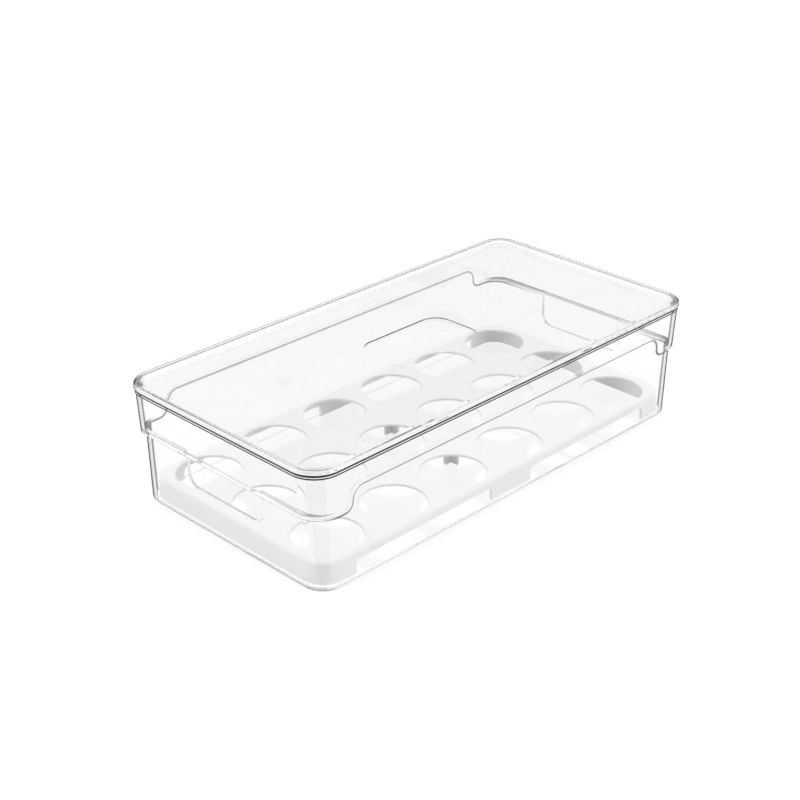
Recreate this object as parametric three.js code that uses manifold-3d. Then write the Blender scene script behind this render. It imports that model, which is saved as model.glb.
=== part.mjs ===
// Egg holder for a fridge: a clear bin with a stepped collar, a white tray that
// stands loose in it and cradles eighteen eggs, and a clear lid that drops into
// the mouth of the bin.
//
// Millimetres. +X runs along the bin, +Y across it and +Z up. The origin is on
// the table, under the middle of the bin.

import * as THREE from 'three';
import * as BufferGeometryUtils from 'three/addons/utils/BufferGeometryUtils.js';
import Module from 'manifold-3d';

const wasm = await Module();
wasm.setup();

// The eggs, which set the size of everything round them
const eggColumns = 6;
const eggRows = 3;
const eggPitch = 51;
const eggHoleDiameter = 40.5;
const eggHoleRound = 0.8;
const endMargin = 10.1;
const sideMargin = 7.8;

// The bin: its lower wall, moulded with a slight lean, and its floor
const binHeight = 75.2;
const binCorner = 14.2;
const binWall = 2.2;
const binFloor = 1.8;
const binFootRound = 2;
const binFloorRound = 0.5;
const binDraftDegrees = 1;

// The collar that stands out round the top of the bin, low at the ends and the
// corners and higher along the two long sides
const collarLow = 47;
const collarHigh = 60.5;
const collarStepEnd = 3.63;
const collarStepSide = 0.33;
const collarCorner = 14.5;
const collarDraftDegrees = 2;
const collarRiseFromEnd = 22.25;
const collarUpperRoundShare = 0.6;
const collarLowerRoundShare = 0.36;

// The flange at the top of the collar, which the lid rests on
const flangeThickness = 2.1;
const flangeOverhangEnd = 1.35;
const flangeOverhangSide = 0.7;
const flangeRound = 0.5;

// The hand hole in each end wall, under the collar
const handHoleWidth = 64.8;
const handHoleBottom = 26.4;
const handHoleRound = 8;
const handHoleLedgeCut = 0.25;

// The lid: a thick rim, a sunk panel that locates in the mouth of the bin, and a
// shallow plain pocket in the middle of the panel
const lidCorner = 17.5;
const lidOverhang = 0.45;
const lidRimThickness = 3;
const lidRimRound = 0.9;
const lidPanelDrop = 2.2;
const lidPanelThickness = 2.2;
const lidPlugGap = 0.6;
const lidPlugWall = 1.6;
const pocketLength = 70.5;
const pocketWidth = 42;
const pocketCorner = 12;
const pocketDepth = 0.8;

// The egg tray: a flat plate on a skirt, open underneath
const trayHeight = 13.9;
const trayPlate = 1.8;
const traySkirt = 1.8;
const trayGap = 1.6;
const trayCornerRelief = 1.4;
const trayDraftDegrees = 2;
const trayEdgeRound = 2;

// Two long arches in each long side of the skirt, and the cross-shaped legs that
// hold up the middle of the plate
const archFromMiddle = 17.5;
const archFromEnd = 24.6;
const archHeight = 8.4;
const archRound = 3;
const legReach = 5.8;
const legThickness = 1.8;

// The air left under a piece that rests on another
const seatGap = 0.3;

// How far a cutting solid runs past the faces that it cuts
const overrun = 4;

// Straight steps in a rounded corner, in an edge round and in an egg hole
const cornerSteps = 9;
const roundSteps = 3;
const holeSteps = 36;
const holeRoundSteps = 2;

// Sizes that follow from those above
const eggSpanX = (eggColumns - 1) * eggPitch + eggHoleDiameter;
const eggSpanY = (eggRows - 1) * eggPitch + eggHoleDiameter;
const footHalfX = eggSpanX / 2 + endMargin;
const footHalfY = eggSpanY / 2 + sideMargin;
const binDraft = Math.tan(THREE.MathUtils.degToRad(binDraftDegrees));
const collarDraft = Math.tan(THREE.MathUtils.degToRad(collarDraftDegrees));
const trayDraft = Math.tan(THREE.MathUtils.degToRad(trayDraftDegrees));
const flangeBottom = binHeight - flangeThickness;

// A ring is one level of a lofted body: a rounded rectangle of half sizes x and y
// at the height z.
function ring(x, y, corner, z) {
  return { x, y, corner, z };
}

// The ring moved in towards the middle, with its corners drawn in alike
function inset(level, by) {
  return ring(level.x - by, level.y - by, level.corner - by, level.z);
}

// The outer face of the bin's lower wall at a height
function wallRing(z) {
  const lean = z * binDraft;
  return ring(footHalfX + lean, footHalfY + lean, binCorner, z);
}

// The outer face of the collar at a height
function collarRing(z) {
  const base = wallRing(collarLow);
  const lean = (z - collarLow) * collarDraft;
  return ring(base.x + collarStepEnd + lean, base.y + collarStepSide + lean, collarCorner, z);
}

// The levels of a quarter-round edge on a ring. side is -1 for a bottom edge, whose
// level is the lowest, and 1 for a top edge, whose level is the highest.
function edgeRound(level, radius, side) {
  const levels = [];
  for (let step = 0; step <= roundSteps; step++) {
    const angle = (step / roundSteps) * Math.PI / 2;
    const along = side > 0 ? angle : Math.PI / 2 - angle;
    const moved = inset(level, radius * (1 - Math.cos(along)));
    moved.z = level.z - side * radius * (1 - Math.sin(along));
    levels.push(moved);
  }
  return levels;
}

// The levels of a hollow's mouth that opens out in a quarter round up to the ring's
// height
function mouthRound(level, radius) {
  const levels = [];
  for (let step = 0; step <= roundSteps; step++) {
    const angle = (step / roundSteps) * Math.PI / 2;
    const moved = inset(level, -radius * (1 - Math.cos(angle)));
    moved.z = level.z - radius * (1 - Math.sin(angle));
    levels.push(moved);
  }
  return levels;
}

// The points of a ring, anticlockwise from above
function ringPoints(level) {
  const points = [];
  for (let quarter = 0; quarter < 4; quarter++) {
    const signX = quarter === 0 || quarter === 3 ? 1 : -1;
    const signY = quarter < 2 ? 1 : -1;
    for (let step = 0; step <= cornerSteps; step++) {
      const angle = (quarter + step / cornerSteps) * Math.PI / 2;
      const x = signX * (level.x - level.corner) + level.corner * Math.cos(angle);
      const y = signY * (level.y - level.corner) + level.corner * Math.sin(angle);
      points.push(new THREE.Vector3(x, y, level.z));
    }
  }
  return points;
}

// A closed body through a list of rings, lowest first, capped at both ends
function loft(levels) {
  const points = levels.flatMap(ringPoints);
  const count = ringPoints(levels[0]).length;
  const first = levels[0];
  const last = levels[levels.length - 1];
  const bottom = points.push(new THREE.Vector3(0, 0, first.z)) - 1;
  const top = points.push(new THREE.Vector3(0, 0, last.z)) - 1;
  const lastRow = (levels.length - 1) * count;
  const faces = [];
  for (let here = 0; here < count; here++) {
    const next = (here + 1) % count;
    faces.push(bottom, next, here);
    faces.push(top, lastRow + here, lastRow + next);
    for (let row = 0; row < lastRow; row += count) {
      faces.push(row + here, row + next, row + count + next);
      faces.push(row + here, row + count + next, row + count + here);
    }
  }
  const geometry = new THREE.BufferGeometry().setFromPoints(points);
  geometry.setIndex(faces);
  return solid(geometry);
}

// A closed three.js geometry as a body that can be joined and cut
function solid(geometry) {
  const bare = geometry.clone();
  bare.deleteAttribute('normal');
  bare.deleteAttribute('uv');
  const merged = BufferGeometryUtils.mergeVertices(bare);
  return new wasm.Manifold(new wasm.Mesh({
    numProp: 3,
    vertProperties: merged.attributes.position.array,
    triVerts: new Uint32Array(merged.index.array),
  }));
}

// A finished body as geometry again, smooth on its rounds and sharp at its edges
function surface(body) {
  const mesh = body.getMesh();
  const geometry = new THREE.BufferGeometry();
  geometry.setAttribute('position', new THREE.BufferAttribute(mesh.vertProperties, mesh.numProp));
  geometry.setIndex(new THREE.BufferAttribute(mesh.triVerts, 1));
  return BufferGeometryUtils.toCreasedNormals(geometry, THREE.MathUtils.degToRad(40));
}

// An outline drawn in X and Z, carried along Y from one place to another
function prismAlongY(outline, from, to) {
  const geometry = new THREE.ExtrudeGeometry(outline, {
    depth: to - from,
    bevelEnabled: false,
    curveSegments: cornerSteps,
  });
  geometry.rotateX(Math.PI / 2);
  geometry.translate(0, to, 0);
  return solid(geometry);
}

// An outline drawn in Y and Z, carried along X from one place to another
function prismAlongX(outline, from, to) {
  const geometry = new THREE.ExtrudeGeometry(outline, {
    depth: to - from,
    bevelEnabled: false,
    curveSegments: cornerSteps,
  });
  geometry.rotateX(Math.PI / 2);
  geometry.rotateZ(Math.PI / 2);
  geometry.translate(from, 0, 0);
  return solid(geometry);
}

// What the collar leaves free along a long side: the space under its raised edge,
// with an S-shaped sweep at both ends. The inside face of the collar has the same
// sweep, one wall further out and up.
function sweepOutline(offset) {
  const rise = collarHigh - collarLow;
  const upper = rise * collarUpperRoundShare + offset;
  const lower = Math.max(rise * collarLowerRoundShare - offset, seatGap);
  const reach = footHalfX - collarRiseFromEnd + offset;
  const low = collarLow + offset;
  const high = collarHigh + offset;
  const outline = new THREE.Shape();
  outline.moveTo(-reach - lower, low - overrun);
  outline.lineTo(reach + lower, low - overrun);
  outline.lineTo(reach + lower, low);
  outline.absarc(reach + lower, low + lower, lower, -Math.PI / 2, -Math.PI, true);
  outline.absarc(reach - upper, high - upper, upper, 0, Math.PI / 2, false);
  outline.absarc(-reach + upper, high - upper, upper, Math.PI / 2, Math.PI, false);
  outline.absarc(-reach - lower, low + lower, lower, 0, -Math.PI / 2, true);
  outline.closePath();
  return outline;
}

// A U with round lower corners and square upper ones
function uOutline(halfWidth, bottom, top, radius) {
  const outline = new THREE.Shape();
  outline.moveTo(halfWidth, top);
  outline.lineTo(-halfWidth, top);
  outline.absarc(-halfWidth + radius, bottom + radius, radius, Math.PI, Math.PI * 1.5, false);
  outline.absarc(halfWidth - radius, bottom + radius, radius, -Math.PI / 2, 0, false);
  outline.closePath();
  return outline;
}

// An arch with round upper corners and square lower ones
function archOutline(left, right, bottom, top, radius) {
  const outline = new THREE.Shape();
  outline.moveTo(left, bottom);
  outline.lineTo(right, bottom);
  outline.absarc(right - radius, top - radius, radius, 0, Math.PI / 2, false);
  outline.absarc(left + radius, top - radius, radius, Math.PI / 2, Math.PI, false);
  outline.closePath();
  return outline;
}

// The middles of the egg holes
function eggPlaces() {
  const places = [];
  for (let row = 0; row < eggRows; row++) {
    for (let column = 0; column < eggColumns; column++) {
      const x = (column - (eggColumns - 1) / 2) * eggPitch;
      const y = (row - (eggRows - 1) / 2) * eggPitch;
      places.push(new THREE.Vector2(x, y));
    }
  }
  return places;
}

// The bin: one clear moulding of even wall, so the collar shows as a step inside
// it as well as outside.
function makeBin() {
  const above = binHeight + overrun;
  const past = footHalfY + collarStepSide + overrun + overrun;
  const footLevels = edgeRound(wallRing(0), binFootRound, -1);
  const shell = loft([...footLevels, wallRing(flangeBottom)]);

  const fullCollar = loft([collarRing(collarLow), collarRing(binHeight - flangeRound)]);
  const collar = fullCollar.subtract(prismAlongY(sweepOutline(0), -past, past));

  const collarTop = collarRing(flangeBottom);
  const flangeX = collarTop.x + flangeOverhangEnd;
  const flangeY = collarTop.y + flangeOverhangSide;
  const flangeCorner = lidCorner - lidOverhang;
  const flangeEdge = ring(flangeX, flangeY, flangeCorner, binHeight);
  const flangeUnder = ring(flangeX, flangeY, flangeCorner, flangeBottom);
  const flange = loft([flangeUnder, ...edgeRound(flangeEdge, flangeRound, 1)]);

  const insideFoot = inset(wallRing(binFloor), binWall);
  const lowerSpace = loft([
    ...edgeRound(insideFoot, binFloorRound, -1),
    inset(wallRing(above), binWall),
  ]);
  const ledge = collarLow + binWall;
  const fullUpperSpace = loft([inset(collarRing(ledge), binWall), inset(collarRing(above), binWall)]);
  const upperSpace = fullUpperSpace.subtract(prismAlongY(sweepOutline(binWall), -past, past));

  let bin = shell.add(collar).add(flange).subtract(lowerSpace).subtract(upperSpace);

  // The hand holes run up to the collar and take the inner part of its ledge away,
  // so each opens straight up and out.
  const holeTop = ledge + handHoleLedgeCut;
  const outside = wallRing(collarLow).x + handHoleLedgeCut;
  const hole = uOutline(handHoleWidth / 2, handHoleBottom, holeTop, handHoleRound);
  const inside = footHalfX - binWall - overrun;
  bin = bin.subtract(prismAlongX(hole, inside, outside));
  bin = bin.subtract(prismAlongX(hole, -outside, -inside));
  return bin;
}

// The lid, with the underside of its rim at height 0
function makeLid() {
  const collarTop = collarRing(flangeBottom);
  const rimX = collarTop.x + flangeOverhangEnd + lidOverhang;
  const rimY = collarTop.y + flangeOverhangSide + lidOverhang;
  const rimLevels = [
    ...edgeRound(ring(rimX, rimY, lidCorner, 0), lidRimRound, -1),
    ...edgeRound(ring(rimX, rimY, lidCorner, lidRimThickness), lidRimRound, 1),
  ];

  // The panel fills the mouth of the bin but for a small gap all round.
  const panelTop = lidRimThickness - lidPanelDrop;
  const panelBottom = panelTop - lidPanelThickness;
  const mouth = inset(collarRing(binHeight + seatGap + panelBottom), binWall);
  const plug = inset(mouth, lidPlugGap);
  const plugUnder = ring(plug.x, plug.y, plug.corner, panelBottom);
  const plugTop = ring(plug.x, plug.y, plug.corner, panelTop);

  const recessFloor = inset(plugTop, lidPlugWall);
  const recessMouth = ring(recessFloor.x, recessFloor.y, recessFloor.corner, lidRimThickness);
  const lip = mouthRound(recessMouth, lidRimRound);
  const above = inset(recessMouth, -lidRimRound);
  above.z = recessMouth.z + overrun;
  const recess = loft([recessFloor, ...lip, above]);

  const pocketFloor = ring(pocketLength / 2, pocketWidth / 2, pocketCorner, panelTop - pocketDepth);
  const pocketMouth = ring(pocketLength / 2, pocketWidth / 2, pocketCorner, panelTop + overrun);
  return loft(rimLevels)
    .add(loft([plugUnder, plugTop]))
    .subtract(recess)
    .subtract(loft([pocketFloor, pocketMouth]));
}

// The tray, with its foot at height 0
function makeTray() {
  const floorRing = inset(wallRing(binFloor), binWall + trayGap);
  const corner = binCorner - binWall + trayCornerRelief;
  const lean = trayHeight * trayDraft;
  const foot = ring(floorRing.x, floorRing.y, corner, 0);
  const top = ring(floorRing.x - lean, floorRing.y - lean, corner, trayHeight);
  const body = loft([foot, ...edgeRound(top, trayEdgeRound, 1)]);

  const ceiling = trayHeight - trayPlate;
  const innerLean = ceiling * trayDraft;
  const hollowFoot = inset(foot, traySkirt);
  const hollowTop = ring(hollowFoot.x - innerLean, hollowFoot.y - innerLean, hollowFoot.corner, ceiling);
  const hollow = loft([
    ring(hollowFoot.x + overrun * trayDraft, hollowFoot.y + overrun * trayDraft, hollowFoot.corner, -overrun),
    hollowTop,
  ]);
  let tray = body.subtract(hollow);

  // Each egg hole has a soft upper edge, so an egg rests on a round.
  const holeRadius = eggHoleDiameter / 2;
  const profile = [new THREE.Vector2(0, ceiling - overrun), new THREE.Vector2(holeRadius, ceiling - overrun)];
  for (let step = 0; step <= holeRoundSteps; step++) {
    const angle = (step / holeRoundSteps) * Math.PI / 2;
    const radius = holeRadius + eggHoleRound * (1 - Math.cos(angle));
    const height = trayHeight - eggHoleRound * (1 - Math.sin(angle));
    profile.push(new THREE.Vector2(radius, height));
  }
  profile.push(new THREE.Vector2(holeRadius + eggHoleRound, trayHeight + overrun));
  profile.push(new THREE.Vector2(0, trayHeight + overrun));
  const cutter = new THREE.LatheGeometry(profile, holeSteps);
  cutter.rotateX(Math.PI / 2);
  for (const place of eggPlaces()) {
    const placed = cutter.clone();
    placed.translate(place.x, place.y, 0);
    tray = tray.subtract(solid(placed));
  }

  // The arches run right across, through the skirt of both long sides.
  const past = foot.y + overrun;
  const archEnd = foot.x - archFromEnd;
  const right = archOutline(archFromMiddle, archEnd, -overrun, archHeight, archRound);
  const left = archOutline(-archEnd, -archFromMiddle, -overrun, archHeight, archRound);
  tray = tray.subtract(prismAlongY(right, -past, past)).subtract(prismAlongY(left, -past, past));

  // A leg stands between each two rows, between the two middle columns.
  const legTop = ceiling + trayPlate / 2;
  const legX = eggColumns % 2 === 0 ? 0 : eggPitch / 2;
  for (let gap = 1; gap < eggRows; gap++) {
    const legY = (gap - eggRows / 2) * eggPitch;
    const along = new THREE.BoxGeometry(2 * legReach, legThickness, legTop);
    const across = new THREE.BoxGeometry(legThickness, 2 * legReach, legTop);
    along.translate(legX, legY, legTop / 2);
    across.translate(legX, legY, legTop / 2);
    tray = tray.add(solid(along)).add(solid(across));
  }
  return tray;
}

const clearPlastic = new THREE.MeshStandardMaterial({
  color: 0xf4f6f6,
  roughness: 0.05,
  metalness: 0,
  transparent: true,
  opacity: 0.25,
});
const whitePlastic = new THREE.MeshStandardMaterial({
  color: 0xf1f1f0,
  roughness: 0.55,
  metalness: 0,
});

const container = new THREE.Mesh(surface(makeBin()), clearPlastic);
container.name = 'container';

const eggTray = new THREE.Mesh(surface(makeTray()), whitePlastic);
eggTray.name = 'egg_tray';
eggTray.position.z = binFloor + seatGap;

const lid = new THREE.Mesh(surface(makeLid()), clearPlastic);
lid.name = 'lid';
lid.position.z = binHeight + seatGap;

const eggHolder = new THREE.Group();
eggHolder.name = 'egg_holder';
eggHolder.add(container, eggTray, lid);

export default eggHolder;
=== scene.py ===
import math

import bpy
import numpy as np
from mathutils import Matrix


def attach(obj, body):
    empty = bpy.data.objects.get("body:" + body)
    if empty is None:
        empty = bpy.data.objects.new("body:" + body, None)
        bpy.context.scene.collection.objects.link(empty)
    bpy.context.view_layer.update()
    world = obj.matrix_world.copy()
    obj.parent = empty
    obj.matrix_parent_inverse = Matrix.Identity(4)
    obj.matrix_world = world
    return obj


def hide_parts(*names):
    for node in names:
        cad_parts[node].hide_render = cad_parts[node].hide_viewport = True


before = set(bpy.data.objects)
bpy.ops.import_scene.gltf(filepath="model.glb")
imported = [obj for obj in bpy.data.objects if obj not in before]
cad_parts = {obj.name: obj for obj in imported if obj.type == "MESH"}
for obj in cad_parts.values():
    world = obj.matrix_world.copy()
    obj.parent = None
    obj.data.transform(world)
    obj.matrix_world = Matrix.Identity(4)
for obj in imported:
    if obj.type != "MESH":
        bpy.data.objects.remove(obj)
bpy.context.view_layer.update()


# The view: a long lens looks down on the near corner of the holder, with the long
# side running away to the right and the end wall to the left. Places are in metres.
VIEW_TURN = math.radians(-45.375)
VIEW_DOWN = math.radians(26.849)
VIEW_ASIDE = -0.01277
VIEW_UP = 0.03159
VIEW_DISTANCE = 1.0122
SENSOR_WIDTH = 36.0
FOCAL_LENGTH = 71.8

back = np.array([
    math.sin(VIEW_TURN) * math.cos(VIEW_DOWN),
    -math.cos(VIEW_TURN) * math.cos(VIEW_DOWN),
    math.sin(VIEW_DOWN),
])
right = np.array([math.cos(VIEW_TURN), math.sin(VIEW_TURN), 0.0])
up = np.cross(back, right)

camera_data = bpy.data.cameras.new("camera")
camera_data.sensor_width = SENSOR_WIDTH
camera_data.lens = FOCAL_LENGTH
camera = bpy.data.objects.new("camera", camera_data)
camera.location = VIEW_ASIDE * right + VIEW_UP * up + VIEW_DISTANCE * back
camera.rotation_euler = (math.pi / 2 - VIEW_DOWN, 0.0, VIEW_TURN)
bpy.context.scene.collection.objects.link(camera)
bpy.context.scene.camera = camera


# The bin: one moulding of clear rigid plastic with even walls. Its lower wall leans out
# by one degree, and the collar round the top stands out as a step, low at the ends and
# corners and swept up along the two long sides. A hand hole opens each end wall.
MM = 0.001
EGG_COLUMNS, EGG_ROWS = 6, 3
EGG_PITCH, EGG_HOLE = 51.0, 40.5
FOOT_MARGIN_END, FOOT_MARGIN_SIDE = 10.1, 7.8
FOOT_HALF_X = ((EGG_COLUMNS - 1) * EGG_PITCH + EGG_HOLE) / 2 + FOOT_MARGIN_END
FOOT_HALF_Y = ((EGG_ROWS - 1) * EGG_PITCH + EGG_HOLE) / 2 + FOOT_MARGIN_SIDE
BIN_HEIGHT, BIN_WALL, BIN_FLOOR = 75.2, 2.2, 1.8
BIN_CORNER, COLLAR_CORNER, FLANGE_CORNER = 14.2, 14.5, 17.05
BIN_LEAN, COLLAR_LEAN = math.tan(math.radians(1)), math.tan(math.radians(2))
COLLAR_LOW, COLLAR_HIGH = 47.0, 60.5
COLLAR_STEP_END, COLLAR_STEP_SIDE = 3.63, 0.33
SWEEP_FROM_END, SWEEP_UPPER, SWEEP_LOWER = 22.25, 8.1, 4.86
FLANGE_THICK, FLANGE_END, FLANGE_SIDE = 2.1, 1.35, 0.7

CORNER_STEPS, SWEEP_STEPS, ROUND_STEPS, FOOT_STEPS = 20, 9, 5, 12


def ring_plan(side_count):
    """The plan of a ring, anticlockwise from the +X end: four quarter circles joined
    by straights, with side_count points along each long side and none along the ends.
    Each point has the signs of its corner's centre and its outward direction."""
    quarter = np.linspace(0, np.pi / 2, CORNER_STEPS + 1)
    signs_x, signs_y, ways = [], [], []
    for number in range(4):
        angle = quarter + number * np.pi / 2
        ways.append(angle)
        signs_x.append(np.full_like(angle, 1 if number in (0, 3) else -1))
        signs_y.append(np.full_like(angle, 1 if number < 2 else -1))
        if number in (0, 2):
            ways.append(np.full(side_count, (number + 1) * np.pi / 2))
            signs_x.append(np.zeros(side_count))
            signs_y.append(np.full(side_count, 1 if number == 0 else -1))
    angle = np.concatenate(ways)
    sign_x, sign_y = np.concatenate(signs_x), np.concatenate(signs_y)
    on_side = sign_x == 0
    return {
        "x": sign_x, "y": sign_y, "nx": np.cos(angle), "ny": np.sin(angle),
        "far": on_side & (sign_y > 0), "near": on_side & (sign_y < 0),
    }


def ring_points(plan, half_x, half_y, corner, height, side_x=()):
    """A rounded rectangle: each point is its corner's centre, the half sizes less the
    corner radius, plus the radius along its outward direction. Along the far long side
    the points stand at side_x, from +X to -X, and along the near one in the other
    order. Sizes and height may change round the ring."""
    half_x, half_y, corner, height = (
        np.broadcast_to(np.asarray(value, float), plan["x"].shape)
        for value in (half_x, half_y, corner, height)
    )
    x = plan["x"] * (half_x - corner) + corner * plan["nx"]
    y = plan["y"] * (half_y - corner) + corner * plan["ny"]
    x[plan["far"]] = side_x
    x[plan["near"]] = side_x[::-1]
    return np.stack([x, y, height], axis=1)


def ring_body(name, rings, edges=None):
    """A closed mesh through a list of rings: quads between each ring and the next, and
    one flat face over the first and the last ring. Millimetres in, metres out. edges
    gives for each ring how much painted shade its points carry from all sides and where
    they turn away."""
    points = np.concatenate(rings) * MM
    count = len(rings[0])
    here = np.arange(count)
    after = (here + 1) % count
    starts = np.arange(len(rings) - 1)[:, None] * count
    quads = np.stack([
        starts + here, starts + after, starts + count + after, starts + count + here,
    ], axis=2).reshape(-1, 4)
    faces = quads.tolist()
    faces.append(here[::-1].tolist())
    faces.append((here + (len(rings) - 1) * count).tolist())
    mesh = bpy.data.meshes.new(name)
    mesh.from_pydata(points, [], faces)
    if edges is not None:
        for number, kind in enumerate(("painted_shade_always", "painted_shade_turned")):
            values = np.stack([np.broadcast_to(edge[number], count) for edge in edges])
            kept = mesh.attributes.new(kind, "FLOAT", "POINT")
            kept.data.foreach_set("value", values.astype(np.float32).ravel())
    mesh.update()
    piece = bpy.data.objects.new(name, mesh)
    bpy.context.scene.collection.objects.link(piece)
    return piece


def wall_size(height):
    """Half sizes of the lower wall's outer face, which lean out with height."""
    return FOOT_HALF_X + height * BIN_LEAN, FOOT_HALF_Y + height * BIN_LEAN


def collar_size(height):
    """Half sizes of the collar's outer face: the wall's at the collar's foot, a step
    further out, and a stronger lean from there."""
    wall_x, wall_y = wall_size(COLLAR_LOW)
    lean = (height - COLLAR_LOW) * COLLAR_LEAN
    return wall_x + COLLAR_STEP_END + lean, wall_y + COLLAR_STEP_SIDE + lean


def sweep_curve(offset):
    """The collar's lower edge along a long side, from +X to -X, moved by offset to the
    collar's side: a quarter circle out of the low edge, a quarter circle into the
    high one, and the same mirrored. Gives the points' X and their heights."""
    reach = FOOT_HALF_X - SWEEP_FROM_END + offset
    lower, upper = SWEEP_LOWER - offset, SWEEP_UPPER + offset
    low, high = COLLAR_LOW + offset, COLLAR_HIGH + offset
    turn = np.linspace(0, np.pi / 2, SWEEP_STEPS + 1)
    x = np.concatenate([
        reach + lower - lower * np.sin(turn),
        reach - upper + upper * np.cos(turn),
    ])
    z = np.concatenate([
        low + lower - lower * np.cos(turn),
        high - upper + upper * np.sin(turn),
    ])
    return np.concatenate([x, -x[::-1]]), np.concatenate([z, z[::-1]])


swept_x, _ = sweep_curve(0.0)
half_count = len(swept_x) // 2
level_x = np.linspace(swept_x[0], swept_x[half_count - 1], half_count)
level_x = np.concatenate([level_x, -level_x[::-1]])
bin_plan = ring_plan(len(level_x))
end_share = np.abs(bin_plan["nx"])


def sweep_heights(offset):
    """The collar's lower edge all the way round: low at the ends and corners, and the
    sweep along the long sides. Gives the heights and the X of the side points."""
    x, z = sweep_curve(offset)
    height = np.full(bin_plan["x"].shape, COLLAR_LOW + offset)
    height[bin_plan["far"]] = z
    height[bin_plan["near"]] = z[::-1]
    return height, x


def bin_ring(size, inset, corner, height, side_x=level_x):
    """A ring of the bin at a height, or at heights that change round it: the wall's or
    the collar's outer face moved inwards by inset, its corners drawn in alike."""
    half_x, half_y = size(height)
    return ring_points(bin_plan, half_x - inset, half_y - inset, corner - inset, height, side_x)


def wall_ring(inset, height, side_x=level_x):
    """A ring on the lower wall."""
    return bin_ring(wall_size, inset, BIN_CORNER, height, side_x)


def collar_ring(inset, height, side_x=level_x):
    """A ring on the collar."""
    return bin_ring(collar_size, inset, COLLAR_CORNER, height, side_x)


def round_steps(steps=ROUND_STEPS):
    """The sine and one minus the cosine of a quarter turn, step by step."""
    turn = np.linspace(0, np.pi / 2, steps + 1)
    return list(zip(np.sin(turn), 1 - np.cos(turn)))


# The rounds and cut edges of the plastic hold no light, and that shade is painted into
# the colour. Each ring says how much painted shade it carries, from nothing to DARK, from
# all sides and where it turns away, as the bin's corners do. A painted dark line fades
# out over LINE_BLUR, and a round's first and last ring can stay clear.
DARK, LINE_BLUR = 1.0, 0.05
ROUND_STARTS, ROUND_ENDS = 0.01, 0.99
BIN_TURN_GAIN = 3.2
bin_turn = np.minimum(1.0, BIN_TURN_GAIN * np.abs(bin_plan["nx"] * bin_plan["ny"]))

bin_rings, bin_painted_shade = [], []


def add_ring(ring, always=0.0, turned=bin_turn):
    """Puts the next ring on the bin, with how much painted shade it carries from all
    sides and where it turns away."""
    bin_rings.append(ring)
    bin_painted_shade.append((always, turned))


# The foot: a flat floor, and a wide round up to the wall that carries painted shade,
# darkest at the ends
FOOT_ROUND, FLAT_MARGIN = 2.0, 0.2
FOOT_DARK_END, FOOT_DARK_SIDE, FOOT_DARK_GAIN, FOOT_DARK_UP_TO = 1.0, 0.4, 1.4, 1.7
# Low on the round the painted shade shows from all sides as well
FOOT_ALWAYS, FOOT_ALWAYS_UP_TO = 0.75, 0.9

foot_dark = np.minimum(1.0, FOOT_DARK_GAIN * end_share)
foot_dark = FOOT_DARK_SIDE + (FOOT_DARK_END - FOOT_DARK_SIDE) * foot_dark
add_ring(wall_ring(FOOT_ROUND + FLAT_MARGIN, 0.0), turned=0.0)
for rise, draw in round_steps(FOOT_STEPS):
    height = FOOT_ROUND * draw
    add_ring(
        wall_ring(FOOT_ROUND * (1 - rise), height),
        FOOT_ALWAYS * foot_dark * (height < FOOT_ALWAYS_UP_TO),
        np.maximum(bin_turn, foot_dark * (height < FOOT_DARK_UP_TO)))

# The step out from the wall to the collar, with its lower edge rounded and painted
# dark as a shade line, a little fainter up the sweep
LEDGE_ROUND_END, LEDGE_ROUND_SIDE = 0.8, 0.14
LEDGE_DARK, LEDGE_FADE, LEDGE_LINE = 0.98, 0.12, 1.2

edge_height, edge_x = sweep_heights(0.0)
ledge_dark = 1 - LEDGE_FADE * (edge_height - COLLAR_LOW) / (COLLAR_HIGH - COLLAR_LOW)
ledge_dark = LEDGE_DARK * ledge_dark
for below, dark in ((LEDGE_LINE + LINE_BLUR, 0.0), (LEDGE_LINE, ledge_dark)):
    height, side_x = sweep_heights(-below)
    add_ring(wall_ring(0.0, height, side_x), dark)
add_ring(wall_ring(0.0, edge_height, edge_x), ledge_dark)
ledge_round = LEDGE_ROUND_SIDE + (LEDGE_ROUND_END - LEDGE_ROUND_SIDE) * end_share
for rise, draw in round_steps():
    height, side_x = sweep_heights(LEDGE_ROUND_SIDE * draw)
    height = height + (ledge_round - LEDGE_ROUND_SIDE) * draw
    add_ring(
        collar_ring(ledge_round * (1 - rise), height, side_x),
        ledge_dark * (draw < ROUND_ENDS))

# The flange: out under the lid, up, and in over the top to the mouth. Its edge gets
# painted shade low down, and again at the top and the mouth, where the lid closes over it.
FLANGE_FOOT_ROUND, FLANGE_ROUND, MOUTH_ROUND = 0.2, 0.45, 0.3
FLANGE_LINE_FROM, FLANGE_DARK_UP_TO, MOUTH_LINE = 0.4, 0.95, 0.3

flange_under = BIN_HEIGHT - FLANGE_THICK
flange_round_from = BIN_HEIGHT - FLANGE_ROUND
flange_x, flange_y = collar_size(flange_under)
flange_x, flange_y = flange_x + FLANGE_END, flange_y + FLANGE_SIDE


def flange_ring(inset, height):
    """A ring of the flange's edge, moved inwards by inset."""
    return ring_points(
        bin_plan, flange_x - inset, flange_y - inset, FLANGE_CORNER - inset, height, level_x)


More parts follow.
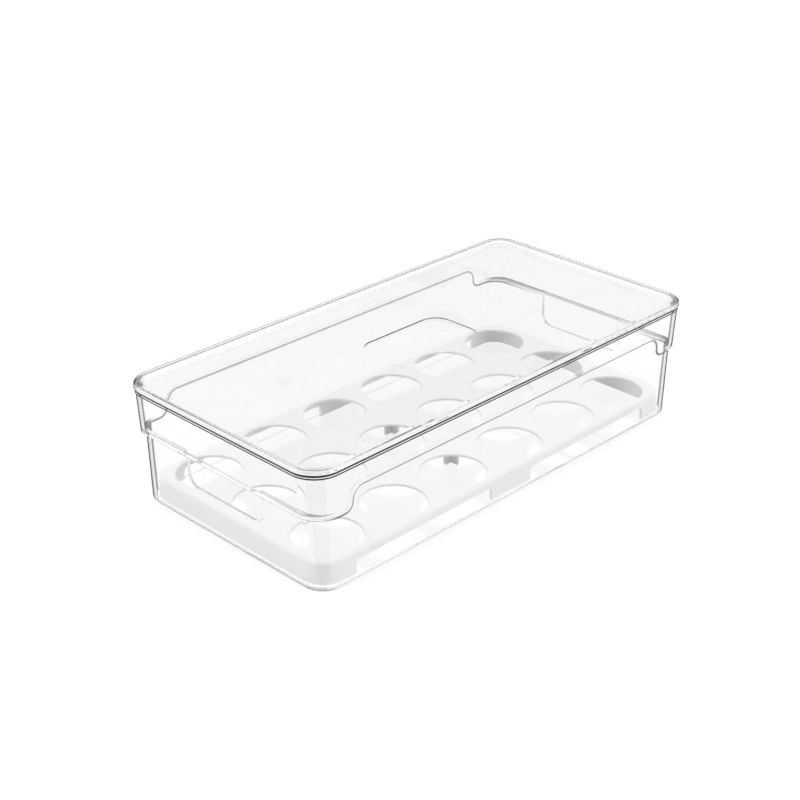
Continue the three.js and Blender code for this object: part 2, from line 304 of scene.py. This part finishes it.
add_ring(collar_ring(0.0, flange_under))
add_ring(flange_ring(FLANGE_LINE_FROM, flange_under))
for rise, draw in round_steps():
    add_ring(
        flange_ring(FLANGE_FOOT_ROUND * (1 - rise), flange_under + FLANGE_FOOT_ROUND * draw),
        DARK)
add_ring(flange_ring(0.0, flange_under + FLANGE_DARK_UP_TO), DARK)
add_ring(flange_ring(0.0, flange_under + FLANGE_DARK_UP_TO + LINE_BLUR))
add_ring(flange_ring(0.0, flange_round_from - 2 * LINE_BLUR))
add_ring(flange_ring(0.0, flange_round_from - LINE_BLUR), DARK)
for rise, draw in round_steps():
    add_ring(flange_ring(FLANGE_ROUND * draw, BIN_HEIGHT - FLANGE_ROUND * (1 - rise)), DARK)
add_ring(flange_ring(FLANGE_ROUND + MOUTH_LINE, BIN_HEIGHT), DARK)
add_ring(flange_ring(FLANGE_ROUND + MOUTH_LINE + 2 * LINE_BLUR, BIN_HEIGHT), turned=0.0)
for rise, draw in round_steps():
    add_ring(collar_ring(BIN_WALL - MOUTH_ROUND * (1 - rise), BIN_HEIGHT - MOUTH_ROUND * draw))

# Down the inside: the collar, its ledge one wall above the outer one, the wall, the floor
LEDGE_FILLET, FLOOR_ROUND = 0.5, 0.5
# The inner ledge's round gets painted shade towards the ends
INNER_DARK = 0.8

for rise, draw in round_steps():
    height, side_x = sweep_heights(BIN_WALL + LEDGE_FILLET * (1 - rise))
    add_ring(collar_ring(BIN_WALL + LEDGE_FILLET * draw * end_share, height, side_x))
for rise, draw in round_steps():
    height, side_x = sweep_heights(BIN_WALL - LEDGE_ROUND_SIDE * draw)
    height = height - (ledge_round - LEDGE_ROUND_SIDE) * draw
    add_ring(
        wall_ring(BIN_WALL - ledge_round * (1 - rise), height, side_x),
        INNER_DARK * end_share * (ROUND_STARTS < draw < ROUND_ENDS))
for rise, draw in round_steps():
    add_ring(wall_ring(BIN_WALL + FLOOR_ROUND * draw, BIN_FLOOR + FLOOR_ROUND * (1 - rise)))
add_ring(wall_ring(BIN_WALL + FLOOR_ROUND + FLAT_MARGIN, BIN_FLOOR), turned=0.0)

bin_piece = ring_body("clear_bin", bin_rings, bin_painted_shade)

# Each hand hole runs up to the collar and takes the inner part of its ledge away, so
# it opens straight up and out. Its edges are slightly rounded and carry painted shade,
# faint at the sill.
HOLE_HALF, HOLE_BOTTOM, HOLE_CORNER, HOLE_EDGE = 32.4, 26.4, 8.0, 0.35
HOLE_PAST, HOLE_CUT_PAST = 0.25, 4.0
HOLE_TOP = COLLAR_LOW + BIN_WALL + HOLE_PAST
SILL_DARK, HOLE_FLARE_SHARE = 0.1, 0.1
HOLE_CORNER_STEPS, HOLE_EDGE_STEPS = 12, 4


def u_outline(grow):
    """A U seen along X: down one side, round two lower corners and up the other, every
    line moved outwards by grow. Gives the points' Y and Z, anticlockwise from +X."""
    turn = np.linspace(0, np.pi / 2, HOLE_CORNER_STEPS + 1)
    radius = HOLE_CORNER + grow
    centre = HOLE_HALF - HOLE_CORNER
    left_y = -centre - radius * np.cos(turn)
    left_z = HOLE_BOTTOM + HOLE_CORNER - radius * np.sin(turn)
    right_y = centre + radius * np.sin(turn)
    right_z = HOLE_BOTTOM + HOLE_CORNER - radius * np.cos(turn)
    y = np.concatenate([[-HOLE_HALF - grow], left_y, right_y, [HOLE_HALF + grow]])
    z = np.concatenate([[HOLE_TOP], left_z, right_z, [HOLE_TOP]])
    return y, z


def hole_cutter(side):
    """The hand hole's space as a stack of U outlines along X, flared at both faces of
    the wall. side is 1 for the +X end and -1 for the other."""
    outer, _ = wall_size(HOLE_BOTTOM + HOLE_CORNER)
    inner = outer - BIN_WALL
    stations = [(inner - HOLE_CUT_PAST, HOLE_EDGE)]
    for rise, draw in round_steps(HOLE_EDGE_STEPS):
        stations.append((inner + HOLE_EDGE * rise, HOLE_EDGE * (1 - rise)))
    for rise, draw in round_steps(HOLE_EDGE_STEPS):
        stations.append((outer - HOLE_EDGE * (1 - rise), HOLE_EDGE * draw))
    stations.append((wall_size(COLLAR_LOW)[0] + HOLE_PAST, HOLE_EDGE))
    rings, edges = [], []
    for x, grow in stations:
        y, z = u_outline(grow)
        rings.append(np.stack([np.full_like(y, side * x), y, z], axis=1))
        # The cut faces take the cutter's painted shade: faint at the sill, full from the
        # corners up
        dark = SILL_DARK + (DARK - SILL_DARK) * np.clip((z - HOLE_BOTTOM) / HOLE_CORNER, 0, 1)
        edges.append((dark * (grow > HOLE_FLARE_SHARE * HOLE_EDGE), 0.0))
    if side < 0:
        rings, edges = rings[::-1], edges[::-1]
    return ring_body("hand_hole_cutter", rings, edges)


def shaped(piece, cutters=(), joined=()):
    """The piece with its cutters taken away and other bodies joined on, as one plain
    mesh; the helpers are removed."""
    for kind, tools in (("DIFFERENCE", cutters), ("UNION", joined)):
        for tool in tools:
            change = piece.modifiers.new(kind.lower(), "BOOLEAN")
            change.operation = kind
            change.solver = "EXACT"
            change.object = tool
    view_layer = bpy.context.evaluated_depsgraph_get()
    mesh = bpy.data.meshes.new_from_object(piece.evaluated_get(view_layer))
    piece.modifiers.clear()
    piece.data = mesh
    mesh.name = piece.name
    for tool in (*cutters, *joined):
        bpy.data.objects.remove(tool)


SHARP_ANGLE = math.radians(32)


def smooth_faces(piece):
    """Shades the rounds smooth and keeps the flats flat: edges past SHARP_ANGLE stay
    sharp, and each corner's normal leans to the larger of its faces."""
    mesh = piece.data
    mesh.polygons.foreach_set("use_smooth", np.ones(len(mesh.polygons), bool))
    mesh.set_sharp_from_angle(angle=SHARP_ANGLE)
    weighted = piece.modifiers.new("weighted_normals", "WEIGHTED_NORMAL")
    weighted.mode = "FACE_AREA"
    weighted.keep_sharp = True


shaped(bin_piece, cutters=[hole_cutter(1), hole_cutter(-1)])
smooth_faces(bin_piece)


def math_node(tree, kind, *values):
    """A Math node, from sockets or plain numbers. Gives its output."""
    node = tree.nodes.new("ShaderNodeMath")
    node.operation = kind
    for socket, value in zip(node.inputs, values):
        if isinstance(value, (int, float)):
            socket.default_value = value
        else:
            tree.links.new(value, socket)
    return node.outputs[0]


def ramp_node(tree, source, low, high, to_low=0.0, to_high=1.0, kind="LINEAR"):
    """A Map Range node: to_low where the source is at its low value, to_high where it
    is at its high one, and a ramp between them that goes no further. Gives its output."""
    node = tree.nodes.new("ShaderNodeMapRange")
    node.interpolation_type = kind
    tree.links.new(source, node.inputs["Value"])
    for name, value in (
        ("From Min", low), ("From Max", high), ("To Min", to_low), ("To Max", to_high),
    ):
        node.inputs[name].default_value = value
    return node.outputs["Result"]


def ripple_group():
    """The slow unevenness of a moulded face: two sizes of soft noise, added. Gives a
    height for a Bump node."""
    group = bpy.data.node_groups.new("moulded_ripple", "ShaderNodeTree")
    for name in ("Coarse Scale", "Fine Scale", "Fine Share"):
        group.interface.new_socket(name, in_out="INPUT", socket_type="NodeSocketFloat")
    group.interface.new_socket("Height", in_out="OUTPUT", socket_type="NodeSocketFloat")
    nodes, links = group.nodes, group.links
    given = nodes.new("NodeGroupInput")
    place = nodes.new("ShaderNodeTexCoord")
    heights = []
    for scale, detail in (("Coarse Scale", 1.0), ("Fine Scale", 2.0)):
        noise = nodes.new("ShaderNodeTexNoise")
        noise.inputs["Detail"].default_value = detail
        links.new(place.outputs["Object"], noise.inputs["Vector"])
        links.new(given.outputs[scale], noise.inputs["Scale"])
        heights.append(noise.outputs["Fac"])
    coarse, fine = heights
    both = math_node(group, "MULTIPLY_ADD", fine, given.outputs["Fine Share"], coarse)
    result = nodes.new("NodeGroupOutput")
    links.new(both, result.inputs["Height"])
    return group


moulded_ripple = ripple_group()


def moulded_bump(tree, coarse, fine, share, strength, distance):
    """Puts the moulded ripple on a material's normal: the scales of its two noises, the
    share of the fine one, and the Bump node's strength and distance in metres."""
    ripple = tree.nodes.new("ShaderNodeGroup")
    ripple.node_tree = moulded_ripple
    ripple.inputs["Coarse Scale"].default_value = coarse
    ripple.inputs["Fine Scale"].default_value = fine
    ripple.inputs["Fine Share"].default_value = share
    bump = tree.nodes.new("ShaderNodeBump")
    bump.inputs["Strength"].default_value = strength
    bump.inputs["Distance"].default_value = distance
    tree.links.new(ripple.outputs["Height"], bump.inputs["Height"])
    tree.links.new(bump.outputs["Normal"], tree.nodes["Principled BSDF"].inputs["Normal"])


# The second colour is the black that is painted into the plastic's edges and rounds as shade.
CLEAR_TINT, PAINTED_SHADE_BLACK = (0.998, 1.0, 0.999, 1), (0.0, 0.0, 0.0, 1)
CLEAR_IOR, CLEAR_PASSES = 1.49, (0.965, 0.966, 0.966, 1)
RIPPLE_HEIGHT, RIPPLE_FINE_RATIO, RIPPLE_FINE_SHARE = 0.0004, 9, 0.12
# How far a face turns from the view before its turned painted shade starts and is full
TURNED_FROM, TURNED_FULL = 0.40, 0.53


def clear_plastic(name, ripple, coarse_scale, from_inside):
    """Clear moulded plastic. What is seen through it is bent as by the real wall, and
    the light of the studio passes straight, so that what stands inside is lit. Its cut
    and turned edges get painted shade, black mixed into the colour, and from_inside is
    the share of that painted shade which also shows where an edge is seen from within
    the plastic."""
    material = bpy.data.materials.new(name)
    material.use_nodes = True
    tree = material.node_tree
    nodes, links = tree.nodes, tree.links
    plastic = nodes["Principled BSDF"]
    plastic.inputs["Roughness"].default_value = 0.0
    plastic.inputs["IOR"].default_value = CLEAR_IOR
    plastic.inputs["Transmission Weight"].default_value = 1.0
    masks = {}
    for kind in ("painted_shade_always", "painted_shade_turned"):
        mask = nodes.new("ShaderNodeAttribute")
        mask.attribute_name = kind
        masks[kind] = mask.outputs["Fac"]
    # Painted shade: full on the marked edges, and on turned ones where the face turns from the
    # view
    facing = nodes.new("ShaderNodeLayerWeight").outputs["Facing"]
    away = ramp_node(tree, facing, TURNED_FROM, TURNED_FULL, kind="SMOOTHSTEP")
    turned = math_node(tree, "MULTIPLY", away, masks["painted_shade_turned"])
    dark = math_node(tree, "MAXIMUM", turned, masks["painted_shade_always"])
    within = nodes.new("ShaderNodeNewGeometry").outputs["Backfacing"]
    share = math_node(tree, "MULTIPLY_ADD", within, from_inside - 1.0, 1.0)
    painted_shade_mix = nodes.new("ShaderNodeMix")
    painted_shade_mix.data_type = "RGBA"
    painted_shade_mix.inputs["A"].default_value = CLEAR_TINT
    painted_shade_mix.inputs["B"].default_value = PAINTED_SHADE_BLACK
    links.new(math_node(tree, "MULTIPLY", share, dark), painted_shade_mix.inputs["Factor"])
    links.new(painted_shade_mix.outputs["Result"], plastic.inputs["Base Color"])
    moulded_bump(
        tree, coarse_scale, coarse_scale * RIPPLE_FINE_RATIO, RIPPLE_FINE_SHARE, ripple,
        RIPPLE_HEIGHT)
    straight = nodes.new("ShaderNodeBsdfTransparent")
    straight.inputs["Color"].default_value = CLEAR_PASSES
    light = nodes.new("ShaderNodeLightPath")
    surface = plastic.outputs[0]
    for ray in ("Is Diffuse Ray", "Is Shadow Ray"):
        either = nodes.new("ShaderNodeMixShader")
        links.new(light.outputs[ray], either.inputs[0])
        links.new(surface, either.inputs[1])
        links.new(straight.outputs[0], either.inputs[2])
        surface = either.outputs[0]
    links.new(surface, nodes["Material Output"].inputs["Surface"])
    return material


bin_piece.data.materials.clear()
bin_piece.data.materials.append(
    clear_plastic("bin_clear_plastic", ripple=0.12, coarse_scale=14.0, from_inside=1.0))
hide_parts("container")
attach(bin_piece, "container")


# The egg tray: a moulding of opaque white plastic that stands loose on the bin's floor.
# Its plate has a round hole for each egg, its skirt has two long arches in each long
# side, and two cross-shaped legs hold up the middle.
REST_GAP = 0.3
TRAY_FOOT = BIN_FLOOR + REST_GAP
TRAY_HEIGHT, TRAY_PLATE, TRAY_SKIRT = 13.9, 1.8, 1.8
TRAY_GAP, TRAY_CORNER_RELIEF = 1.6, 1.4
TRAY_LEAN = math.tan(math.radians(2))
TRAY_EDGE, TRAY_FOOT_ROUND, TRAY_FILLET = 2.0, 0.3, 0.5
TRAY_EDGE_STEPS, TRAY_FOOT_STEPS = 8, 3

corner_plan = ring_plan(0)
tray_x, tray_y = wall_size(BIN_FLOOR)
tray_x, tray_y = tray_x - BIN_WALL - TRAY_GAP, tray_y - BIN_WALL - TRAY_GAP
tray_corner = BIN_CORNER - BIN_WALL + TRAY_CORNER_RELIEF
ceiling = TRAY_HEIGHT - TRAY_PLATE


def tray_ring(inset, height):
    """A ring of the tray at a height above its foot: the leaning outer face of the
    skirt moved inwards by inset."""
    drawn = height * TRAY_LEAN
    return ring_points(
        corner_plan, tray_x - drawn - inset, tray_y - drawn - inset, tray_corner - inset,
        TRAY_FOOT + height)


tray_rings = [
    tray_ring(TRAY_SKIRT + TRAY_FILLET * (1 - rise), ceiling - TRAY_FILLET * draw)
    for rise, draw in round_steps()
] + [
    tray_ring(TRAY_SKIRT - TRAY_FOOT_ROUND * draw, TRAY_FOOT_ROUND * (1 - rise))
    for rise, draw in round_steps(TRAY_FOOT_STEPS)
] + [
    tray_ring(TRAY_FOOT_ROUND * (1 - rise), TRAY_FOOT_ROUND * draw)
    for rise, draw in round_steps(TRAY_FOOT_STEPS)
] + [
    tray_ring(TRAY_EDGE * draw, TRAY_HEIGHT - TRAY_EDGE * (1 - rise))
    for rise, draw in round_steps(TRAY_EDGE_STEPS)
]
tray_piece = ring_body("white_egg_tray", tray_rings)

HOLE_LIP, HOLE_UNDER_LIP = 0.8, 0.3
HOLE_LIP_STEPS, HOLE_UNDER_STEPS, HOLE_SEGMENTS = 6, 3, 96
TRAY_CUT_PAST = 3.0


def egg_hole_cutter(x, y):
    """The space of an egg hole: circles stacked from under the plate to above it, wider
    at the bottom edge and flared in a quarter round at the top edge."""
    radius = EGG_HOLE / 2
    top = TRAY_FOOT + TRAY_HEIGHT
    under = TRAY_FOOT + ceiling
    stations = [(radius + HOLE_UNDER_LIP, under - TRAY_CUT_PAST)]
    for rise, draw in round_steps(HOLE_UNDER_STEPS):
        stations.append((radius + HOLE_UNDER_LIP * (1 - rise), under + HOLE_UNDER_LIP * draw))
    for rise, draw in round_steps(HOLE_LIP_STEPS):
        stations.append((radius + HOLE_LIP * draw, top - HOLE_LIP * (1 - rise)))
    stations.append((radius + HOLE_LIP, top + TRAY_CUT_PAST))
    angle = np.arange(HOLE_SEGMENTS) * 2 * np.pi / HOLE_SEGMENTS
    rings = [
        np.stack([x + r * np.cos(angle), y + r * np.sin(angle), np.full_like(angle, z)], axis=1)
        for r, z in stations
    ]
    return ring_body("egg_hole_cutter", rings)


ARCH_FROM_MIDDLE, ARCH_FROM_END, ARCH_HEIGHT, ARCH_ROUND = 17.5, 24.6, 8.4, 3.0
ARCH_STEPS, ARCH_CUT_PAST = 10, 4.0


def arch_cutter(side):
    """The space of a pair of arches, straight across the tray: an outline with round
    upper corners, seen along Y. side is 1 for the +X half and -1 for the other."""
    turn = np.linspace(0, np.pi / 2, ARCH_STEPS + 1)
    near, far = ARCH_FROM_MIDDLE, tray_x - ARCH_FROM_END
    top, bottom = TRAY_FOOT + ARCH_HEIGHT, TRAY_FOOT - TRAY_CUT_PAST
    x = np.concatenate([
        [near, far],
        far - ARCH_ROUND + ARCH_ROUND * np.cos(turn),
        near + ARCH_ROUND - ARCH_ROUND * np.sin(turn),
    ])
    z = np.concatenate([
        [bottom, bottom],
        top - ARCH_ROUND + ARCH_ROUND * np.sin(turn),
        top - ARCH_ROUND + ARCH_ROUND * np.cos(turn),
    ])
    past = tray_y + ARCH_CUT_PAST
    rings = [np.stack([side * x, np.full_like(x, y), z], axis=1) for y in (past, -past)]
    if side < 0:
        rings = rings[::-1]
    return ring_body("arch_cutter", rings)


LEG_REACH, LEG_THICK = 5.8, 1.8


def cross_leg(y):
    """A leg as a plus-shaped outline stood up from the tray's foot into its plate."""
    reach, half = LEG_REACH, LEG_THICK / 2
    cross = np.array([
        (reach, -half), (reach, half), (half, half),
        (half, reach), (-half, reach), (-half, half),
        (-reach, half), (-reach, -half), (-half, -half),
        (-half, -reach), (half, -reach), (half, -half),
    ])
    rings = [
        np.column_stack([cross[:, 0], cross[:, 1] + y, np.full(len(cross), z)])
        for z in (TRAY_FOOT, TRAY_FOOT + ceiling + TRAY_PLATE / 2)
    ]
    return ring_body("cross_leg", rings)


columns = (np.arange(EGG_COLUMNS) - (EGG_COLUMNS - 1) / 2) * EGG_PITCH
rows = (np.arange(EGG_ROWS) - (EGG_ROWS - 1) / 2) * EGG_PITCH
hole_cutters = [egg_hole_cutter(x, y) for y in rows for x in columns]
legs = [cross_leg(y) for y in (-EGG_PITCH / 2, EGG_PITCH / 2)]
shaped(tray_piece, cutters=[*hole_cutters, arch_cutter(1), arch_cutter(-1)], joined=legs)
smooth_faces(tray_piece)

TRAY_DIM, TRAY_BRIGHT = (0.83, 0.831, 0.833, 1), (0.855, 0.855, 0.854, 1)
TRAY_SMOOTH, TRAY_ROUGH = 0.42, 0.52
DRIFT_SCALE, DRIFT_DETAIL = 9.0, 3.0
GRAIN_COARSE, GRAIN_FINE, GRAIN_SHARE = 60.0, 1400.0, 0.5
GRAIN_STRENGTH, GRAIN_HEIGHT = 0.12, 0.0001


def white_plastic(name):
    """Opaque white moulded plastic with a fine matte grain: a soft broad shine, and a
    faint drift of tone and of roughness over the plate."""
    material = bpy.data.materials.new(name)
    material.use_nodes = True
    tree = material.node_tree
    nodes, links = tree.nodes, tree.links
    plastic = nodes["Principled BSDF"]
    place = nodes.new("ShaderNodeTexCoord")
    drift = nodes.new("ShaderNodeTexNoise")
    drift.inputs["Scale"].default_value = DRIFT_SCALE
    drift.inputs["Detail"].default_value = DRIFT_DETAIL
    tone = nodes.new("ShaderNodeMix")
    tone.data_type = "RGBA"
    tone.inputs["A"].default_value = TRAY_DIM
    tone.inputs["B"].default_value = TRAY_BRIGHT
    shine = ramp_node(tree, drift.outputs["Fac"], 0.0, 1.0, TRAY_SMOOTH, TRAY_ROUGH)
    links.new(place.outputs["Object"], drift.inputs["Vector"])
    links.new(drift.outputs["Fac"], tone.inputs["Factor"])
    links.new(tone.outputs["Result"], plastic.inputs["Base Color"])
    links.new(shine, plastic.inputs["Roughness"])
    moulded_bump(tree, GRAIN_COARSE, GRAIN_FINE, GRAIN_SHARE, GRAIN_STRENGTH, GRAIN_HEIGHT)
    return material


tray_piece.data.materials.clear()
tray_piece.data.materials.append(white_plastic("tray_white_plastic"))
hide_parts("egg_tray")
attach(tray_piece, "egg_tray")


# The lid: one moulding of the bin's clear plastic, laid on loose. Its thick rim rests on
# the flange, its sunk panel drops into the mouth, and the panel has a plain pocket.
LID_FOOT = BIN_HEIGHT + REST_GAP
LID_OVERHANG, LID_CORNER, RIM_THICK = 0.45, 17.5, 3.0
PANEL_DROP, PANEL_THICK, PLUG_GAP, PLUG_WALL = 2.2, 2.2, 0.6, 1.6
POCKET_X, POCKET_Y, POCKET_CORNER, POCKET_DEPTH = 35.25, 21.0, 12.0, 0.8
RIM_ROUND, RIM_FOOT_ROUND, RECESS_FILLET = 0.9, 0.5, 0.6
PLUG_ROUND, POCKET_ROUND = 0.4, 0.12
RIM_STEPS, POCKET_STEPS = 7, 3

rim_top = LID_FOOT + RIM_THICK
panel_top = rim_top - PANEL_DROP
panel_under = panel_top - PANEL_THICK
mouth_x, mouth_y = collar_size(panel_under)
plug_in = BIN_WALL + PLUG_GAP
lid_outlines = {
    "rim": (flange_x + LID_OVERHANG, flange_y + LID_OVERHANG, LID_CORNER),
    "plug": (mouth_x - plug_in, mouth_y - plug_in, COLLAR_CORNER - plug_in),
    "pocket": (POCKET_X, POCKET_Y, POCKET_CORNER),
}

# The rim's foot is painted dark like the gap below it, its round gets painted shade at
# the corners where it turns away and faintly all round, and the pocket's wall is a
# painted dark line.
RIM_LINE, RIM_LINE_IN = 0.2, 0.3
RIM_EDGE_DARK, RIM_EDGE_FROM, RIM_EDGE_TO = 0.15, 0.1, 0.9
POCKET_DARK = 0.9
LID_TURN_GAIN = 2

lid_turn = LID_TURN_GAIN * np.abs(corner_plan["nx"] * corner_plan["ny"])
lid_rings, lid_painted_shade = [], []


def add_lid_ring(kind, inset, height, always=0.0, turned=0.0):
    """Puts the next ring on the lid: the outline of its rim, plug or pocket moved
    inwards by inset, with how much painted shade it carries from all sides and where it
    turns away."""
    half_x, half_y, corner = lid_outlines[kind]
    lid_rings.append(
        ring_points(corner_plan, half_x - inset, half_y - inset, corner - inset, height))
    lid_painted_shade.append((always, turned))


# Up the plug, out under the rim and round its foot
for rise, draw in round_steps():
    add_lid_ring("plug", PLUG_ROUND * (1 - rise), panel_under + PLUG_ROUND * draw)
add_lid_ring("plug", 0.0, LID_FOOT)
add_lid_ring("rim", RIM_FOOT_ROUND + RIM_LINE_IN, LID_FOOT)
add_lid_ring("rim", RIM_FOOT_ROUND + RIM_LINE, LID_FOOT, DARK)
for rise, draw in round_steps(RIM_STEPS):
    add_lid_ring("rim", RIM_FOOT_ROUND * (1 - rise), LID_FOOT + RIM_FOOT_ROUND * draw, DARK)
rim_line = LID_FOOT + RIM_FOOT_ROUND + RIM_LINE
add_lid_ring("rim", 0.0, rim_line, DARK)
add_lid_ring("rim", 0.0, rim_line + LINE_BLUR, turned=lid_turn)

# Over the rim, down to the panel and into the pocket
for rise, draw in round_steps(RIM_STEPS):
    add_lid_ring(
        "rim", RIM_ROUND * draw, rim_top - RIM_ROUND * (1 - rise),
        RIM_EDGE_DARK * (RIM_EDGE_FROM < draw < RIM_EDGE_TO), lid_turn)
for rise, draw in round_steps(RIM_STEPS):
    add_lid_ring("plug", PLUG_WALL - RIM_ROUND * (1 - rise), rim_top - RIM_ROUND * draw)
for rise, draw in round_steps():
    add_lid_ring(
        "plug", PLUG_WALL + RECESS_FILLET * draw, panel_top + RECESS_FILLET * (1 - rise))
for rise, draw in round_steps(POCKET_STEPS):
    add_lid_ring(
        "pocket", -POCKET_ROUND * (1 - rise), panel_top - POCKET_ROUND * draw,
        POCKET_DARK * (draw > 0))
add_lid_ring("pocket", 0.0, panel_top - POCKET_DEPTH, POCKET_DARK)
add_lid_ring("pocket", LINE_BLUR, panel_top - POCKET_DEPTH)

lid_piece = ring_body("clear_lid", lid_rings, lid_painted_shade)
smooth_faces(lid_piece)
lid_piece.data.materials.append(
    clear_plastic("lid_clear_plastic", ripple=0.1, coarse_scale=9.0, from_inside=0.0))
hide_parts("lid")
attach(lid_piece, "lid")


# The table: a plain white sheet that runs out of sight and keeps a faint shadow of the
# holder. Mirrored in the plastic it is white beside the holder and under its floor, and
# painted dark for mirror rays only behind it, under its walls and before its near corner,
# which the plastic shows as dark reflections.
TABLE_HALF, TABLE_GAP = 30.0, 0.0003
TABLE_TONE, TABLE_ROUGH = 0.94, 0.9
TABLE_GLOW = 0.5
MIRROR_DARK_X, MIRROR_DARK_Y, UNDER_X, UNDER_Y, MIRROR_DARK_BLUR = 0.157, 0.078, 0.146, 0.067, 0.003

table_mesh = bpy.data.meshes.new("table")
table_corners = TABLE_HALF * np.array([(-1, -1, 0), (1, -1, 0), (1, 1, 0), (-1, 1, 0)])
table_mesh.from_pydata(table_corners, [], [(0, 1, 2, 3)])
table = bpy.data.objects.new("table", table_mesh)
table.location.z = -TABLE_GAP
bpy.context.scene.collection.objects.link(table)

paper = bpy.data.materials.new("white_table")
paper.use_nodes = True
paper_tree = paper.node_tree
sheet = paper_tree.nodes["Principled BSDF"]
sheet.inputs["Base Color"].default_value = (TABLE_TONE, TABLE_TONE, TABLE_TONE, 1)
sheet.inputs["Roughness"].default_value = TABLE_ROUGH
sheet.inputs["Specular IOR Level"].default_value = 0.0
place = paper_tree.nodes.new("ShaderNodeTexCoord")
split = paper_tree.nodes.new("ShaderNodeSeparateXYZ")
paper_tree.links.new(place.outputs["Object"], split.inputs[0])


def less_than(source, edge):
    """One below the edge, nothing above it, and a soft ramp between."""
    return ramp_node(paper_tree, source, edge + MIRROR_DARK_BLUR, edge - MIRROR_DARK_BLUR)


left_of = less_than(split.outputs["X"], -MIRROR_DARK_X)
front_of = less_than(split.outputs["Y"], -MIRROR_DARK_Y)
under_x = less_than(math_node(paper_tree, "ABSOLUTE", split.outputs["X"]), UNDER_X)
under_y = less_than(math_node(paper_tree, "ABSOLUTE", split.outputs["Y"]), UNDER_Y)
one_side = math_node(paper_tree, "SUBTRACT", left_of, front_of)
mirrored = math_node(
    paper_tree, "MAXIMUM",
    math_node(paper_tree, "ABSOLUTE", one_side),
    math_node(paper_tree, "MULTIPLY", under_x, under_y))

# Seen straight or through the plastic the sheet is plain white, half of it its own glow
# where it is seen straight, so that the shadow stays faint
paths = paper_tree.nodes.new("ShaderNodeLightPath").outputs
straight_or_through = math_node(
    paper_tree, "MAXIMUM", paths["Is Transmission Ray"], paths["Is Camera Ray"])
white = paper_tree.nodes.new("ShaderNodeEmission")
paper_tree.links.new(
    math_node(paper_tree, "MAXIMUM", straight_or_through, mirrored), white.inputs["Strength"])
glow = math_node(
    paper_tree, "MAXIMUM",
    math_node(paper_tree, "MAXIMUM", paths["Is Glossy Ray"], paths["Is Transmission Ray"]),
    math_node(paper_tree, "MULTIPLY", paths["Is Camera Ray"], TABLE_GLOW))
pick = paper_tree.nodes.new("ShaderNodeMixShader")
paper_tree.links.new(glow, pick.inputs[0])
paper_tree.links.new(sheet.outputs[0], pick.inputs[1])
paper_tree.links.new(white.outputs[0], pick.inputs[2])
paper_tree.links.new(pick.outputs[0], paper_tree.nodes["Material Output"].inputs["Surface"])
table_mesh.materials.append(paper)


# The studio: a broad soft light overhead, a soft box low on the right and a weaker one
# on the left, a pale screen behind the holder, and a dim room elsewhere, which is what
# the edges of the plastic show dark.
LIGHT_FROM, LIGHT_FULL, LIGHT_TONE = 0.66, 0.80, 1.75
SCREEN_EDGE, SCREEN_FULL, SCREEN_TONE = 0.15, 0.55, 0.5
BOX_EDGE, BOX_FULL, RIGHT_TONE, LEFT_TONE = 0.80, 0.90, 1.9, 1.75
RIGHT_BOX, LEFT_BOX = (0.49, -0.835, 0.25), (-0.835, 0.49, 0.25)
OVERHEAD = (0.0, 0.0, 1.0)
BEHIND = (-math.sin(VIEW_TURN), math.cos(VIEW_TURN), 0.0)
ROOM_TONE = 0.06

world = bpy.data.worlds.new("studio")
world.use_nodes = True
bpy.context.scene.world = world
sky_tree = world.node_tree
sky = sky_tree.nodes["Background"]
sky.inputs["Color"].default_value = (1, 1, 1, 1)
where = sky_tree.nodes.new("ShaderNodeTexCoord")


def sky_light(facing, edge, full, tone, beside=0.0):
    """The tone of a light by how far a direction of the sky turns towards it: beside up
    to its edge, its own tone from where it is full, and a ramp between."""
    turn = sky_tree.nodes.new("ShaderNodeVectorMath")
    turn.operation = "DOT_PRODUCT"
    turn.inputs[1].default_value = facing
    sky_tree.links.new(where.outputs["Generated"], turn.inputs[0])
    return ramp_node(sky_tree, turn.outputs["Value"], edge, full, beside, tone)


brightest = sky_light(BEHIND, SCREEN_EDGE, SCREEN_FULL, SCREEN_TONE, beside=ROOM_TONE)
for light in (
    sky_light(OVERHEAD, LIGHT_FROM, LIGHT_FULL, LIGHT_TONE),
    sky_light(RIGHT_BOX, BOX_EDGE, BOX_FULL, RIGHT_TONE),
    sky_light(LEFT_BOX, BOX_EDGE, BOX_FULL, LEFT_TONE),
):
    brightest = math_node(sky_tree, "MAXIMUM", brightest, light)

# Seen straight or through the plastic the studio is plain white
sky_paths = sky_tree.nodes.new("ShaderNodeLightPath").outputs
shown = sky_tree.nodes.new("ShaderNodeMix")
shown.inputs["B"].default_value = 1.0
sky_tree.links.new(
    math_node(
        sky_tree, "MAXIMUM", sky_paths["Is Camera Ray"], sky_paths["Is Transmission Ray"]),
    shown.inputs["Factor"])
sky_tree.links.new(brightest, shown.inputs["A"])
sky_tree.links.new(shown.outputs["Result"], sky.inputs["Strength"])

# Light that is caught in the walls of the plastic takes many turns to get out
PLASTIC_BOUNCES, STRAIGHT_BOUNCES = 256, 64

scene = bpy.context.scene
scene.view_settings.view_transform = "Standard"
scene.cycles.max_bounces = PLASTIC_BOUNCES
scene.cycles.transmission_bounces = PLASTIC_BOUNCES
scene.cycles.glossy_bounces = PLASTIC_BOUNCES
scene.cycles.transparent_max_bounces = STRAIGHT_BOUNCES
scene.cycles.caustics_refractive = False
scene.cycles.caustics_reflective = False
